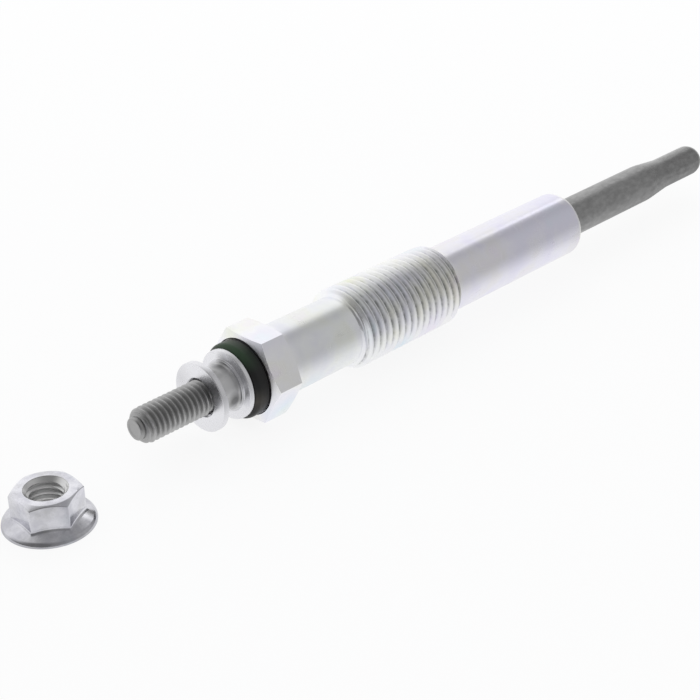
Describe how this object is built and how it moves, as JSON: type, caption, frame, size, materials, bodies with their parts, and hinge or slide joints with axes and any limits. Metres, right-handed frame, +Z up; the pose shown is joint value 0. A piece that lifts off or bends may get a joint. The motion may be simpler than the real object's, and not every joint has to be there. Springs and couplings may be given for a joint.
{
  "type": "diesel glow plug",
  "caption": "Diesel glow plug with threaded steel body, spanner hexagon, closed heating tube, threaded terminal stud with crimped collar, and its loose flange nut.",
  "frame": {"origin": "on the plug's axis, at the middle of the body thread", "axes": "+X along the plug from the terminal towards the heated tip, +Z up with the plug lying on a flat of its hexagon"},
  "size_m": [0.1409, 0.0139, 0.012],
  "materials": {
    "body_shell": "bluish zinc plate, satin",
    "glow_tube": "dark heat-resisting alloy, matte",
    "centre_rod": "dark phosphated steel, satin",
    "terminal_collar": "plated steel, satin",
    "insulating_bush": "black moulded insulator, satin",
    "terminal_nut": "zinc plate, satin",
    "heating_coil": "bare resistance wire",
    "control_coil": "bare resistance wire",
    "magnesia_fill": "packed white powder",
    "tube_seal": "moulded rubber",
    "body_seal": "moulded rubber"
  },
  "bodies": {
    "root": {"body_shell": "body_shell", "glow_tube": "glow_tube", "centre_rod": "centre_rod", "terminal_collar": "terminal_collar", "insulating_bush": "insulating_bush", "terminal_nut": "terminal_nut", "heating_coil": "heating_coil", "control_coil": "control_coil", "magnesia_fill": "magnesia_fill", "tube_seal": "tube_seal", "body_seal": "body_seal"}
  },
  "joints": []
}
